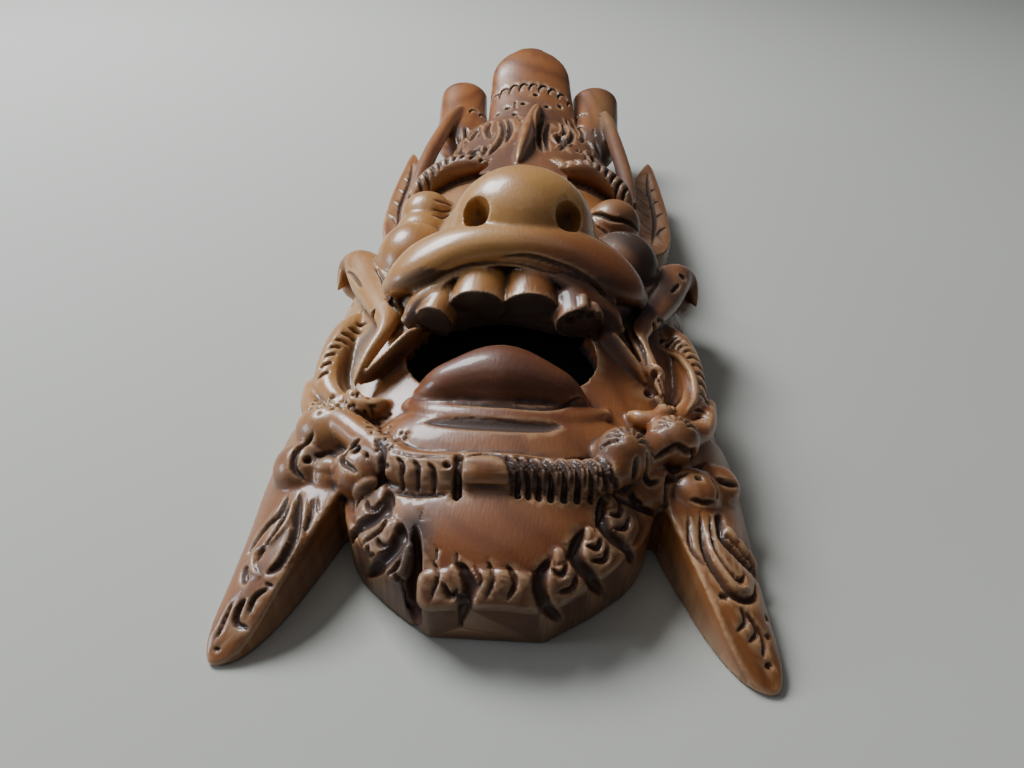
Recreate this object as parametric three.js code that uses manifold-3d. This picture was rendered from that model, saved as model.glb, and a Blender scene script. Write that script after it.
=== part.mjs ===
// A carved wooden barong mask: one hollow block of hardwood, lying on the rim of its back.
// Millimetres. X runs across the face, Y from the beard to the crown, Z out of the face.
import * as THREE from 'three';
import { mergeVertices } from 'three/addons/utils/BufferGeometryUtils.js';
import Module from 'manifold-3d';

const wasm = await Module();
wasm.setup();
const { Manifold, Mesh: ManifoldMesh } = wasm;

// Driving dimensions. Y counts from the tips of the side flaps (0) to the tip of the crown (LENGTH).
const LENGTH = 500;
const WIDTH = 202; // over the side flaps and the cheeks
const DEPTH = 109; // from the rim of the back to the top of the nose
const WALL = 14; // thickness of the carved wall round the hollow back
const FLAP_ROOT = 27; // thickness of a side flap where it leaves the jaw
const FLAP_TIP = 13; // thickness of a side flap at its free end
const BEARD_RIM_X = 62; // half-width of the beard plate
const TOOTH = 21; // width of one front tooth
const NOSE_RADIUS = 33;
const NOSTRIL_RADIUS = 5.5;
const EYE_RADIUS = 15;
const ROD_RADIUS = 4.5; // the two plain rods beside the forehead
const MOUTH_HALF_WIDTH = 43;
const LEFT_EAR = 0.93; // the left ear stands this share as far out as the right one
const SMALLEST_DETAIL = 0.25; // facets finer than this are merged
const LEAN = 2; // the face drifts this far off the middle of the block

const FRONT = new THREE.Vector3(0, 0, 1);
const SIDES = [-1, 1];

// ---- tools: three.js geometry turned into closed solids ----

function solid(geometry) {
  const bare = geometry.clone();
  bare.deleteAttribute('normal');
  bare.deleteAttribute('uv');
  const welded = mergeVertices(bare, 1e-3);
  const mesh = new ManifoldMesh({
    numProp: 3,
    vertProperties: new Float32Array(welded.attributes.position.array),
    triVerts: new Uint32Array(welded.index.array),
  });
  return new Manifold(mesh);
}

function joined(solids) {
  return Manifold.union(solids);
}

// The same maker called for the left and for the right.
function pair(make) {
  return SIDES.map((side) => make(side)).flat();
}

// A list of numbers read as a smooth run of values from t = 0 to t = 1.
function run(values) {
  const curve = new THREE.SplineCurve(values.map((value, i) => new THREE.Vector2(i, value)));
  return (t) => curve.getPoint(t).y;
}

function path(points) {
  return new THREE.CatmullRomCurve3(points.map((p) => new THREE.Vector3(...p)));
}

// Points of the right half of a symmetrical path, written from the side to the middle.
function mirroredPath(half) {
  return [...half, ...half.slice(0, -1).reverse().map(([x, y, z]) => [-x, y, z])];
}

function smoothOutline(points, count) {
  return new THREE.SplineCurve(points.map((p) => new THREE.Vector2(...p))).getPoints(count);
}

// A limb along a path: half-widths across it and half-heights out of the face.
// Both ends are drawn in; blunt is the share of the size that is left there.
function limb(points, across, out, { steps = 10, sides = 10, blunt = 0.25 } = {}) {
  const curve = path(points);
  const halfWidth = run(across);
  const halfHeight = run(out);
  const rod = new THREE.CylinderGeometry(1, 1, 1, sides, steps);
  const place = rod.attributes.position;
  for (let i = 0; i < place.count; i += 1) {
    const t = place.getY(i) + 0.5;
    const along = curve.getTangent(t);
    const sideways = new THREE.Vector3().crossVectors(along, FRONT).normalize();
    const outward = new THREE.Vector3().crossVectors(sideways, along);
    const nearEnd = Math.max(0, 1 - Math.min(t, 1 - t) * 4);
    const draw = Math.sqrt(Math.max(blunt ** 2, 1 - nearEnd ** 2));
    const point = curve.getPoint(t);
    point.addScaledVector(sideways, place.getX(i) * halfWidth(t) * draw);
    point.addScaledVector(outward, place.getZ(i) * halfHeight(t) * draw);
    place.setXYZ(i, point.x, point.y, point.z);
  }
  return solid(rod);
}

// A rounded lump: centre, three radii, and a turn about X, Y and Z in degrees.
function lump(centre, radii, { turn = [0, 0, 0], segments = 14 } = {}) {
  const ball = new THREE.SphereGeometry(1, segments, Math.round(segments * 0.6));
  ball.rotateX(Math.PI / 2);
  ball.scale(...radii);
  const [x, y, z] = turn.map(THREE.MathUtils.degToRad);
  ball.rotateX(x);
  ball.rotateY(y);
  ball.rotateZ(z);
  ball.translate(...centre);
  return solid(ball);
}

// A long flat-backed vault lying along Y: stations of [Y, half-width, crest height].
function vault(stations, { steps = 24, sides = 28, square = 2.3, floor = 0 } = {}) {
  const curve = path(stations);
  const barrel = new THREE.CylinderGeometry(1, 1, 1, sides, steps);
  const place = barrel.attributes.position;
  for (let i = 0; i < place.count; i += 1) {
    const { x: y, y: halfWidth, z: crest } = curve.getPoint(place.getY(i) + 0.5);
    const [u, v] = [place.getX(i), place.getZ(i)];
    const inMiddle = Math.hypot(u, v) < 0.5;
    const x = halfWidth * Math.sign(u) * Math.abs(u) ** (2 / square);
    const rise = inMiddle ? 0.4 : Math.max(v, 0) ** (2 / square);
    place.setXYZ(i, inMiddle ? 0 : x, y, floor + (crest - floor) * rise);
  }
  return solid(barrel);
}

// A board with the given outline, from height low to height high.
function board(outline, low, high) {
  const points = outline.map((p) => new THREE.Vector2(...p));
  if (THREE.ShapeUtils.isClockWise(points)) points.reverse();
  const plate = new THREE.ExtrudeGeometry(new THREE.Shape(points), { depth: high - low, bevelEnabled: false });
  plate.translate(0, 0, low);
  return solid(plate);
}

// ---- the block: head, cheeks and jaw in one vault, hollowed from the back ----

const HEAD = [
  [62, 86, 32],
  [80, 96, 39],
  [110, 99, 46],
  [150, 98, 58],
  [200, 95, 68],
  [250, 86, 74],
  [300, 77, 75],
  [350, 70, 73],
  [400, 64, 66],
  [436, 58, 54],
];

function hollow() {
  const inner = HEAD.slice(2, -1).map(([y, halfWidth, crest]) => [y, halfWidth - WALL, crest - WALL + 1]);
  const [chinEnd, crownEnd] = [inner[0], inner[inner.length - 1]];
  chinEnd[0] -= 2 * WALL;
  crownEnd[0] -= WALL / 3;
  return vault(inner, { steps: 8, sides: 14, floor: -20 });
}

// ---- beard: a U-shaped plate with leaves cut round its edge ----

function beard() {
  const half = [[BEARD_RIM_X, 76], [61, 62], [53, 43], [40, 29], [21, 15]];
  const edge = (side) => smoothOutline(half, 10).map((p) => [side * p.x - 4 * (1 - p.y / 76), p.y]);
  const plate = board([...edge(1), ...edge(-1).reverse()], 0, 60);
  const dome = lump([0, 60, 0], [68, 51, 44], { segments: 18 });
  const leafGaps = [-56, -40, -20, 0, 20, 40, 56].map((x) => {
    const rimY = 12 + 0.0125 * x * x;
    const inward = new THREE.Vector2(-x * 0.35, 22).normalize().multiplyScalar(18);
    const from = [x - 4, rimY - 4, 18];
    const to = [x - 4 + inward.x, rimY + inward.y, 32];
    return limb([from, to], [2.6, 1.4], [5, 2], { steps: 2, sides: 4, blunt: 0.8 });
  });
  return plate.intersect(dome).subtract(joined(leafGaps));
}

// ---- side flaps below the jaw: thick at the inner edge, falling away outward ----

function flap(side) {
  const outline = [
    [60, 78], [62, 60], [72, 35], [85, 8], [92, 1], [98, 0], [100, 4], [101, 40], [101, 82], [92, 104], [66, 90],
  ].map(([x, y]) => [side * x, y]);
  const top = limb(
    [[side * 66, 108, 0], [side * 68, 70, 0], [side * 75, 35, 0], [side * 84, -14, 0]],
    [37, 35, 28, 21],
    [FLAP_ROOT + 3, FLAP_ROOT + 1, (FLAP_ROOT + FLAP_TIP) / 2 + 1, FLAP_TIP],
    { steps: 6, sides: 12, blunt: 1 },
  );
  const flutes = [0, 12].map((shift) => limb(
    [[side * (72 + shift), 62, 29 - shift * 0.5], [side * (79 + shift), 36, 22 - shift * 0.5], [side * 88, 14, 13]],
    [1.6, 2.2, 1],
    [3, 3.2, 1.2],
    { steps: 4, sides: 4 },
  ));
  return board(outline, 0, 40).intersect(top).subtract(joined(flutes));
}

// ---- jaw: scroll knots at its corners and the roped band under the chin ----

function knots(side) {
  const bosses = [[76, 68, 25, 12], [55, 70, 27, 11], [84, 82, 22, 10]];
  return bosses.map(([x, y, z, radius]) => {
    const boss = lump([side * x, y, z], [radius, radius, radius * 0.9], { segments: 8 });
    const eyelet = lump([side * x, y - radius * 0.5, z + radius * 0.8], [3, 3, 5], { segments: 4 });
    return boss.subtract(eyelet);
  });
}

function chinBand() {
  const route = mirroredPath([
    [86, 112, 32], [80, 92, 35], [66, 84, 38], [56, 74, 39], [45, 64, 40], [34, 57, 41], [18, 56, 42], [0, 56, 43],
  ]);
  const band = limb(route, [6, 7, 7, 7, 7, 7, 6], [6, 7, 7, 7, 7, 7, 6], { steps: 18, sides: 6, blunt: 0.7 });
  const curve = path(route);
  const strandCount = 10;
  const gaps = Array.from({ length: strandCount }, (_, i) => {
    const t = 0.06 + (0.88 * (i + 0.5)) / strandCount;
    const middle = curve.getPoint(t);
    const along = curve.getTangent(t);
    const across = new THREE.Vector3(-along.y, along.x, 0).addScaledVector(along, 0.35).multiplyScalar(8);
    const low = middle.clone().sub(across);
    const high = middle.clone().add(across);
    return limb(
      [[low.x, low.y, low.z + 4], [middle.x, middle.y, middle.z + 7], [high.x, high.y, high.z + 7]],
      [1.2, 1.2],
      [2, 2],
      { steps: 1, sides: 3, blunt: 1 },
    );
  });
  return band.subtract(joined(gaps));
}

// ---- mouth: lower lip, tongue, gum, rolled upper lip, four front teeth and two fangs ----

function lowerJaw() {
  const chin = lump([0, 84, 30], [52, 24, 24], { segments: 12 });
  const lip = limb(
    mirroredPath([[40, 97, 42], [26, 88, 50], [0, 85, 52]]),
    [4, 7, 7, 7, 4],
    [4, 6, 7, 6, 4],
    { steps: 8, sides: 6, blunt: 0.6 },
  );
  const tongue = limb(
    mirroredPath([[34, 100, 44], [20, 99, 50], [0, 102, 52]]),
    [8, 10, 15, 10, 8],
    [5, 9, 13, 9, 5],
    { steps: 10, sides: 9, blunt: 0.5 },
  );
  return [chin, lip, tongue];
}

function upperJaw() {
  const muzzle = lump([LEAN, 168, 42], [64, 46, 45], { segments: 12 });
  const gum = limb(
    mirroredPath([[48, 131, 54], [34, 136, 67], [0, 144, 78]]),
    [8, 8, 8, 8, 8],
    [9, 10, 10, 10, 9],
    { steps: 8, sides: 7, blunt: 0.5 },
  );
  const lip = limb(
    mirroredPath([[61, 148, 54], [48, 153, 70], [25, 157, 81], [0, 157, 84]]),
    [14, 17, 14, 12, 14, 17, 14],
    [8, 9, 9, 9, 9, 9, 8],
    { steps: 14, sides: 9, blunt: 0.7 },
  );
  return [muzzle, gum, lip];
}

function frontTeeth() {
  return [-1.5, -0.5, 0.5, 1.5].map((place) => {
    const outward = Math.abs(place);
    const centre = [place * TOOTH - 1, 136 - outward * 1.5, 77 - outward * 5];
    return lump(centre, [TOOTH * 0.55, 12, 10], { turn: [-24, place * 14, 0], segments: 9 });
  });
}

function fang(side) {
  return limb(
    [[side * 38, 146, 58], [side * 49, 138, 57], [side * 58, 120, 49], [side * 62, 104, 40]],
    [8, 9, 6, 2.5],
    [8, 8, 6, 2.5],
    { steps: 7, sides: 8 },
  );
}

function mouthOpening() {
  return lump([0, 123, 40], [MOUTH_HALF_WIDTH, 24, 46], { turn: [-30, 0, 0], segments: 14 });
}

// ---- nose, eyes and cheeks ----

function nose() {
  const radii = [NOSE_RADIUS + 2, NOSE_RADIUS - 3, NOSE_RADIUS];
  const bulb = lump([LEAN, 183, DEPTH - NOSE_RADIUS], radii, { segments: 14 });
  const bridge = limb(
    [[LEAN, 195, 76], [LEAN, 230, 76], [LEAN, 268, 74]],
    [24, 15, 18],
    [16, 11, 8],
    { steps: 5, sides: 10, blunt: 0.6 },
  );
  const nostrils = pair((side) => lump(
    [LEAN + side * 21, 165, 96],
    [NOSTRIL_RADIUS, NOSTRIL_RADIUS * 1.3, 15],
    { turn: [42, side * 8, 0], segments: 7 },
  ));
  return bulb.add(bridge).subtract(joined(nostrils));
}

function eye(side) {
  const ball = lump([side * 51, 232, 59], [EYE_RADIUS, EYE_RADIUS, EYE_RADIUS], { segments: 10 });
  const lid = limb(
    [[side * 66, 228, 56], [side * 62, 246, 61], [side * 46, 252, 69], [side * 32, 244, 74]],
    [4, 5, 5, 4],
    [4, 5, 5, 4],
    { steps: 5, sides: 5 },
  );
  const cheekBall = lump([side * 54, 200, 48], [20, 22, 22], { segments: 9 });
  const brow = limb(
    [[side * 68, 246, 52], [side * 62, 266, 61], [side * 42, 274, 73], [side * 22, 266, 80], [side * 10, 252, 83]],
    [5, 8, 9, 8, 4],
    [5, 7, 8, 7, 4],
    { steps: 6, sides: 6 },
  );
  return [ball, lid, cheekBall, brow];
}

// The smooth strap that runs from the fang up to a beak-shaped curl on the cheek.
function strap(side) {
  const band = limb(
    [[side * 54, 130, 42], [side * 60, 152, 43], [side * 70, 176, 42], [side * 82, 200, 38], [side * 91, 217, 32]],
    [6, 9, 10, 9, 5],
    [6, 9, 10, 9, 6],
    { steps: 8, sides: 7 },
  );
  const curl = lump([side * 91, 222, 29], [8, 9, 9], { segments: 8 });
  return [band, curl];
}

// The round fold of the cheek behind the fang, with a row of ticks outside it.
function cheekRoll(side) {
  return limb(
    [[side * 74, 174, 33], [side * 80, 150, 32], [side * 81, 126, 32], [side * 76, 108, 30]],
    [6, 7, 7, 6],
    [7, 9, 9, 7],
    { steps: 8, sides: 8 },
  );
}

function cheekGrooves(side) {
  const fold = limb(
    [[side * 62, 158, 52], [side * 70, 140, 48], [side * 72, 122, 45], [side * 66, 106, 45]],
    [2, 3, 3, 2],
    [4, 5, 5, 4],
    { steps: 6, sides: 5 },
  );
  const tickCount = 6;
  const ticks = Array.from({ length: tickCount }, (_, i) => {
    const turn = (i / (tickCount - 1) - 0.5) * 1.3;
    const reach = new THREE.Vector3(side * Math.cos(turn), Math.sin(turn), 0);
    const middle = new THREE.Vector3(side * 61, 142, 39).addScaledVector(reach, 22);
    const inner = middle.clone().addScaledVector(reach, -5);
    const outer = middle.clone().addScaledVector(reach, 5);
    return limb([[inner.x, inner.y, 41], [outer.x, outer.y, 36]], [1.2, 1.2], [3, 3], { steps: 1, sides: 3, blunt: 1 });
  });
  return [fold, ...ticks];
}

// ---- ears, rods and forehead ----

function ear(side) {
  const spread = side < 0 ? -LEFT_EAR : 1;
  const outline = smoothOutline(
    [[72, 250], [88, 256], [94, 290], [96, 330], [94, 396], [82, 368], [68, 330]],
    18,
  ).map((p) => [spread * p.x, p.y]);
  const vein = limb(
    [[spread * 84, 268, 36], [spread * 88, 310, 36], [spread * 88, 360, 36]],
    [2.5, 3.5, 1.5],
    [3, 5, 2],
    { steps: 4, sides: 4 },
  );
  return board(outline, 14, 34).subtract(vein);
}

function rod(side) {
  return limb(
    [[side * 68, 280, 50], [side * 65, 344, 54], [side * 60, 400, 55], [side * 54, 440, 56]],
    [ROD_RADIUS, ROD_RADIUS, ROD_RADIUS, ROD_RADIUS],
    [ROD_RADIUS, ROD_RADIUS, ROD_RADIUS, ROD_RADIUS],
    { steps: 8, sides: 8, blunt: 0.6 },
  );
}

function scroll(x, y, z, radius, turns, side) {
  const count = 13;
  const points = Array.from({ length: count }, (_, i) => {
    const t = i / (count - 1);
    const angle = turns * 2 * Math.PI * t;
    const reach = radius * (1 - 0.75 * t);
    return [x + side * reach * Math.cos(angle), y + reach * Math.sin(angle), z + 2 * t];
  });
  return limb(points, [3.2, 2.6, 2], [4, 4, 4], { steps: 9, sides: 4, blunt: 0.6 });
}

function foreheadScrolls() {
  const flame = limb([[2, 276, 73], [2, 330, 74], [4, 392, 69]], [5, 8, 3], [8, 10, 6], { steps: 6, sides: 6 });
  const scrolls = pair((side) => [
    scroll(side * 25, 336, 70, 15, 1.4, side),
    scroll(side * 44, 318, 62, 10, 1.3, -side),
    scroll(side * 26, 374, 66, 10, 1.3, -side),
  ]);
  return [flame, ...scrolls];
}

// ---- crown: one tall lobe between two lower ones ----

function crown() {
  const middle = limb(
    [[4, 372, 46], [4, 420, 51], [3, 462, 65], [1, 498, 85]],
    [36, 33, 29, 26],
    [16, 16, 14, 10],
    { steps: 7, sides: 10, blunt: 0.45 },
  );
  const sideLobes = pair((side) => limb(
    [[side * 44, 376, 38], [side * 50, 430, 40], [side * 51, 470, 47], [side * 51, 492, 54]],
    [23, 19, 17, 15],
    [16, 15, 14, 11],
    { steps: 7, sides: 10, blunt: 0.45 },
  ));
  return [middle, ...sideLobes];
}

// ---- the whole carving: its outer shell alone, so that no pocket stays sealed in the wood ----

function carving() {
  const wood = joined([
    vault(HEAD, { steps: 14, sides: 18 }),
    beard(),
    ...pair(flap),
    ...pair(knots),
    chinBand(),
    ...lowerJaw(),
    ...upperJaw(),
    ...pair(eye),
    nose(),
    ...pair(strap),
    ...pair(cheekRoll),
    ...pair(ear),
    ...pair(rod),
    ...foreheadScrolls(),
    ...crown(),
  ]);
  const opened = wood.subtract(joined([...pair(cheekGrooves), hollow(), mouthOpening()]));
  const toothed = joined([opened, ...frontTeeth(), ...pair(fang)]);
  const below = new THREE.BoxGeometry(2 * WIDTH, 3 * LENGTH, DEPTH);
  below.translate(0, 0, -DEPTH / 2);
  const shells = toothed.subtract(solid(below)).setTolerance(SMALLEST_DETAIL).decompose();
  return shells.reduce((largest, shell) => (shell.volume() > largest.volume() ? shell : largest));
}

// The carving as a mesh that fills exactly the three driving dimensions, its origin under its middle.
function fitted(manifold) {
  const { vertProperties, triVerts } = manifold.getMesh();
  const geometry = new THREE.BufferGeometry();
  geometry.setAttribute('position', new THREE.BufferAttribute(new Float32Array(vertProperties), 3));
  geometry.setIndex(new THREE.BufferAttribute(new Uint32Array(triVerts), 1));
  geometry.computeBoundingBox();
  const size = geometry.boundingBox.getSize(new THREE.Vector3());
  const centre = geometry.boundingBox.getCenter(new THREE.Vector3());
  const floor = geometry.boundingBox.min.z;
  geometry.translate(-centre.x, -centre.y, -floor);
  geometry.scale(WIDTH / size.x, LENGTH / size.y, DEPTH / size.z);
  geometry.computeVertexNormals();
  return geometry;
}

// A soft brown hardwood under a thin gloss of varnish.
const carvedWood = new THREE.MeshStandardMaterial({ color: 0x8a5a34, roughness: 0.42, metalness: 0 });

const mask = new THREE.Mesh(fitted(carving()), carvedWood);
mask.name = 'mask';

const part = new THREE.Group();
part.add(mask);

export default part;
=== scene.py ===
# %% [markdown]
# # A carved wooden barong mask
# The real thing is one half of a log, carved on the round side and hollowed on the flat side,
# then stained in the cuts and varnished. This lesson builds it the way a sculptor works in clay:
# big rounded forms first, melted into one skin, then cuts, then the fine carving pressed into the
# skin, and last a wood material that knows where the cuts are.

# %% Load the frame and set the units
import bmesh
import bpy
import math
import numpy as np
from mathutils import Matrix, Vector
from mathutils.bvhtree import BVHTree


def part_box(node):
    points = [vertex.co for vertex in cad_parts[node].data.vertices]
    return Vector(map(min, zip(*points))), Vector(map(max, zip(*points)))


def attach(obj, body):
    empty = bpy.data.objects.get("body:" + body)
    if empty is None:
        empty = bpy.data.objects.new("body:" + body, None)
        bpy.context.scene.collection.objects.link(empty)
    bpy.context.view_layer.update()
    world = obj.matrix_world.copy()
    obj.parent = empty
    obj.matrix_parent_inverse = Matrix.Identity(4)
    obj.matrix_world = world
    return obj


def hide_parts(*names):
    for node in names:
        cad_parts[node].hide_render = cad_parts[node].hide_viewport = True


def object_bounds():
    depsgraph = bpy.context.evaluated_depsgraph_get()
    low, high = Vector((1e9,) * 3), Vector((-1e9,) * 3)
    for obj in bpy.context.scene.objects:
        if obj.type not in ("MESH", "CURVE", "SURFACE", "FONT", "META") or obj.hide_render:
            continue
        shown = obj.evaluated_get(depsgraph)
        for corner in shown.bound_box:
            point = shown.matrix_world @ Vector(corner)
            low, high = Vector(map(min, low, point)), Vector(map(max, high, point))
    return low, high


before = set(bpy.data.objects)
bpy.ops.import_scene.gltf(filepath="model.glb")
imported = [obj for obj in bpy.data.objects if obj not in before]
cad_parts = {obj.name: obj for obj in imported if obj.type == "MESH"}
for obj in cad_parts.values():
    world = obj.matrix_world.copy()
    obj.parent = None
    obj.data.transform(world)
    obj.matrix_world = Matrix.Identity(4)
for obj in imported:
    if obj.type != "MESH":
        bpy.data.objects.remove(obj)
cad_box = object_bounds()
mask_low, mask_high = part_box("mask")
LENGTH = 500                                      # the carving's own scale runs from 0 to 500
MM = (mask_high[1] - mask_low[1]) / LENGTH        # metres in one step of that scale
MIDDLE = Vector(((mask_low[0] + mask_high[0]) / 2, (mask_low[1] + mask_high[1]) / 2, mask_low[2]))
DEPTH = (mask_high[2] - mask_low[2]) / MM
HALF_WIDTH = (mask_high[0] - mask_low[0]) / MM / 2
SIDES = (-1, 1)
print(f"mask: {2 * HALF_WIDTH:.0f} x {LENGTH} x {DEPTH:.0f} steps of {MM * 1000:.2f} mm")

# %% [markdown]
# ## Clay tools
# Each big form is a bmesh operator's shape (a sphere, a cone, a circle) bent into place. They may
# overlap freely, because a voxel remesh melts them into one skin afterwards. Everything is placed
# in millimetres on the block: x across the face, y from the beard (0) to the crown (500), z up
# out of the face.

# %% A smooth run through a few chosen values
def spline(points):
    """Catmull-Rom curve through the points; the answer is read for t between 0 and 1."""
    knots = np.array(points, float)
    knots = knots[:, None] if knots.ndim == 1 else knots
    knots = np.vstack([2 * knots[0] - knots[1], knots, 2 * knots[-1] - knots[-2]])

    def read(t):
        s = np.clip(np.atleast_1d(t), 0, 1) * (len(knots) - 3)
        i = np.minimum(s.astype(int), len(knots) - 4)
        u = (s - i)[:, None]
        a, b, c, d = knots[i], knots[i + 1], knots[i + 2], knots[i + 3]
        bend = (2 * a - 5 * b + 4 * c - d) * u**2 + (3 * b - a - 3 * c + d) * u**3
        return 0.5 * (2 * b + (c - a) * u + bend)

    return read


def mirrored(half):
    """The points of a path on the right, ending on the middle line, and their mirror on the left."""
    return [*half, *[(-x, y, z) for x, y, z in reversed(half[:-1])]]


# %% The clay itself, and the four ways to add to it
def column(sides, steps):
    """A closed cylinder along z, cut into rings: the blank for limbs and vaults."""
    bm = bmesh.new()
    bmesh.ops.create_cone(bm, cap_ends=True, cap_tris=True, segments=sides, radius1=1, radius2=1, depth=1)
    uprights = [e for e in bm.edges if abs(e.verts[0].co.z - e.verts[1].co.z) > 0.5]
    bmesh.ops.subdivide_edges(bm, edges=uprights, cuts=steps - 1, use_grid_fill=True)
    return bm


def coordinates(bm):
    return np.array([v.co for v in bm.verts])


def place(bm, co):
    for vertex, point in zip(bm.verts, co):
        vertex.co = point


def pour(clay, bm):
    """Adds a finished shape to the heap of clay."""
    mesh = bpy.data.meshes.new("form")
    bm.to_mesh(mesh)
    bm.free()
    clay.from_mesh(mesh)
    bpy.data.meshes.remove(mesh)


def limb(clay, route, across, out, blunt=0.25, sides=20, steps=28):
    """A tapering limb along a path. Its ends are drawn in to the share of the size called blunt."""
    bm = column(sides, steps)
    co = coordinates(bm)
    t = co[:, 2] + 0.5
    path = spline(route)
    along = path(t + 0.01) - path(t - 0.01)
    along /= np.linalg.norm(along, axis=1)[:, None]
    sideways = np.cross(along, (0, 0, 1))
    sideways /= np.linalg.norm(sideways, axis=1)[:, None]
    outward = np.cross(sideways, along)
    near_end = np.maximum(0, 1 - np.minimum(t, 1 - t) * 4)
    draw = np.sqrt(np.maximum(blunt**2, 1 - near_end**2))[:, None]
    width, height = spline(across)(t) * draw, spline(out)(t) * draw
    place(bm, path(t) + sideways * co[:, :1] * width + outward * co[:, 1:2] * height)
    pour(clay, bm)


def lump(clay, centre, radii, turn=(0, 0, 0)):
    """A rounded lump: an ellipsoid turned about x, y and z, in degrees."""
    turned = Matrix.Identity(4)
    for angle, axis in zip(turn, "XYZ"):
        turned = Matrix.Rotation(math.radians(angle), 4, axis) @ turned
    where = Matrix.Translation(centre) @ turned @ Matrix.Diagonal((*radii, 1))
    bm = bmesh.new()
    bmesh.ops.create_uvsphere(bm, u_segments=32, v_segments=20, radius=1, matrix=where)
    pour(clay, bm)


def vault(clay, stations, floor=0, square=2.3):
    """A flat-backed vault along y, from stations of (y, half-width, crest height)."""
    bm = column(64, 60)
    co = coordinates(bm)
    y, half_width, crest = spline(stations)(co[:, 2] + 0.5).T
    u, v = co[:, 0], co[:, 1]
    x = half_width * np.sign(u) * np.abs(u) ** (2 / square)
    rise = np.maximum(v, 0) ** (2 / square)
    inside = np.hypot(u, v) < 0.5
    x[inside], rise[inside] = 0, 0.4
    place(bm, np.column_stack([x, y, floor + (crest - floor) * rise]))
    pour(clay, bm)


def board(clay, outline, low, high, bend=None):
    """A board with the given outline, from one height to another; bend(x, y) lifts its top."""
    bm = bmesh.new()
    rim = [bm.verts.new((x, y, low)) for x, y in outline]
    face = bm.faces.new(rim)
    top = bmesh.ops.extrude_face_region(bm, geom=[face])["geom"]
    raised = [g for g in top if isinstance(g, bmesh.types.BMVert)]
    bmesh.ops.translate(bm, verts=raised, vec=(0, 0, high - low))
    for vertex in raised if bend else ():
        vertex.co.z += bend(vertex.co.x, vertex.co.y)
    bmesh.ops.recalc_face_normals(bm, faces=bm.faces)
    pour(clay, bm)


def skin(clay, name, voxel):
    """Melts a heap of clay into one closed skin made of even squares."""
    mesh = bpy.data.meshes.new(name)
    clay.to_mesh(mesh)
    piece = bpy.data.objects.new(name, mesh)
    bpy.context.scene.collection.objects.link(piece)
    remesh = piece.modifiers.new("melt", "REMESH")
    remesh.mode = "VOXEL"
    remesh.voxel_size = voxel
    return bake(piece)


def bake(piece):
    """Applies a piece's modifiers for good."""
    shown = piece.evaluated_get(bpy.context.evaluated_depsgraph_get())
    mesh = bpy.data.meshes.new_from_object(shown)
    old, piece.data = piece.data, mesh
    piece.modifiers.clear()
    bpy.data.meshes.remove(old)
    return piece

# %% [markdown]
# ## The block: head, cheeks and jaw
# A mask starts as half a log. One vault with a flat back gives the head its swelling and its
# narrowing towards the crown. Its stations are cross-sections: how wide and how high the wood
# stands at each place along the face.

# %% The head
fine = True
clay = bmesh.new()
LEAN = 2                                          # the face drifts this far off the middle
HEAD = [
    (62, 86, 32), (80, 96, 39), (110, 99, 46), (150, 98, 58), (200, 95, 68),
    (250, 86, 72), (300, 77, 71), (350, 70, 68), (400, 64, 64), (436, 58, 54),
]
vault(clay, HEAD, floor=-6)
print(f"head: {len(clay.faces)} faces")

# %% [markdown]
# ## Beard and side flaps
# Below the jaw the wood gets thin: a fan of a beard with leaves round its edge, and a long flap
# at each side. Each is a board with the right outline, melted and then pressed down until its top
# follows a rounded height, the way a carver planes a board away to a curve.

# %% Read and write the points of a piece
def vertex_places(piece):
    co = np.empty(len(piece.data.vertices) * 3)
    piece.data.vertices.foreach_get("co", co)
    return co.reshape(-1, 3)


def set_places(piece, co):
    piece.data.vertices.foreach_set("co", co.ravel())
    piece.data.update()


# %% Boards pressed to a height
def pressed_board(outline, top, voxel=1.6):
    """A board whose top is pressed down to the height that top(x, y) gives."""
    blank = bmesh.new()
    board(blank, outline, -6, 50)
    piece = skin(blank, "board", voxel)
    co = vertex_places(piece)
    co[:, 2] = np.minimum(co[:, 2], top(co[:, 0], co[:, 1]))
    set_places(piece, co)
    return piece


def smooth_outline(points, count):
    return [tuple(p) for p in spline(points)(np.linspace(0, 1, count))]


def add_piece(clay, piece):
    clay.from_mesh(piece.data)
    bpy.data.objects.remove(piece)


# %% The beard
BEARD_HALF = [(62, 82), (62, 66), (55, 43), (40, 28), (21, 15)]


def beard_edge(side):
    return [(side * x - 4 * (1 - y / 76), y) for x, y in smooth_outline(BEARD_HALF, 14)]


def beard_top(x, y):
    dome = 1 - ((x + 1) / 72) ** 2 - (np.minimum(y - 60, 0) / 53) ** 2
    return 44 * np.sqrt(np.maximum(dome, 0))


beard = pressed_board([*beard_edge(1), *reversed(beard_edge(-1))], beard_top)
add_piece(clay, beard)
print(f"beard added: {len(clay.faces)} faces")
lump(clay, (-71, 88, 30), (17, 13, 13))
lump(clay, (45, 69, 43), (11, 10, 12))
lump(clay, (67, 84, 38), (11, 10, 11))

# %% The side flaps
FLAP_OUTLINE = [
    (58, 84), (62, 60), (70, 36), (78, 17), (86, 5), (94, 0), (99.5, 2), (101, 18), (101, 50), (101, 82),
    (94, 104), (66, 100),
]
FLAP_RIDGE = spline([(64, 30, 38), (66, 29, 36), (67, 27, 34), (76.5, 19, 25), (91, -3, 14)])


def flap_top(side):
    def top(x, y):
        ridge_x, height, half_width = FLAP_RIDGE((100 - np.ravel(y)) / 106).T
        off = (side * x - ridge_x) / half_width
        return np.maximum(
            2,
            height * np.sqrt(np.clip(1 - np.maximum(off, 0) ** 2, 0, 1)) - 0.1 * np.maximum(-off, 0),
        )
    return top


for side in SIDES:
    outline = [(side * x, y) for x, y in smooth_outline(FLAP_OUTLINE, 40)][::side]
    add_piece(clay, pressed_board(outline, flap_top(side)))
print(f"beard and flaps added: {len(clay.faces)} faces")

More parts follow.
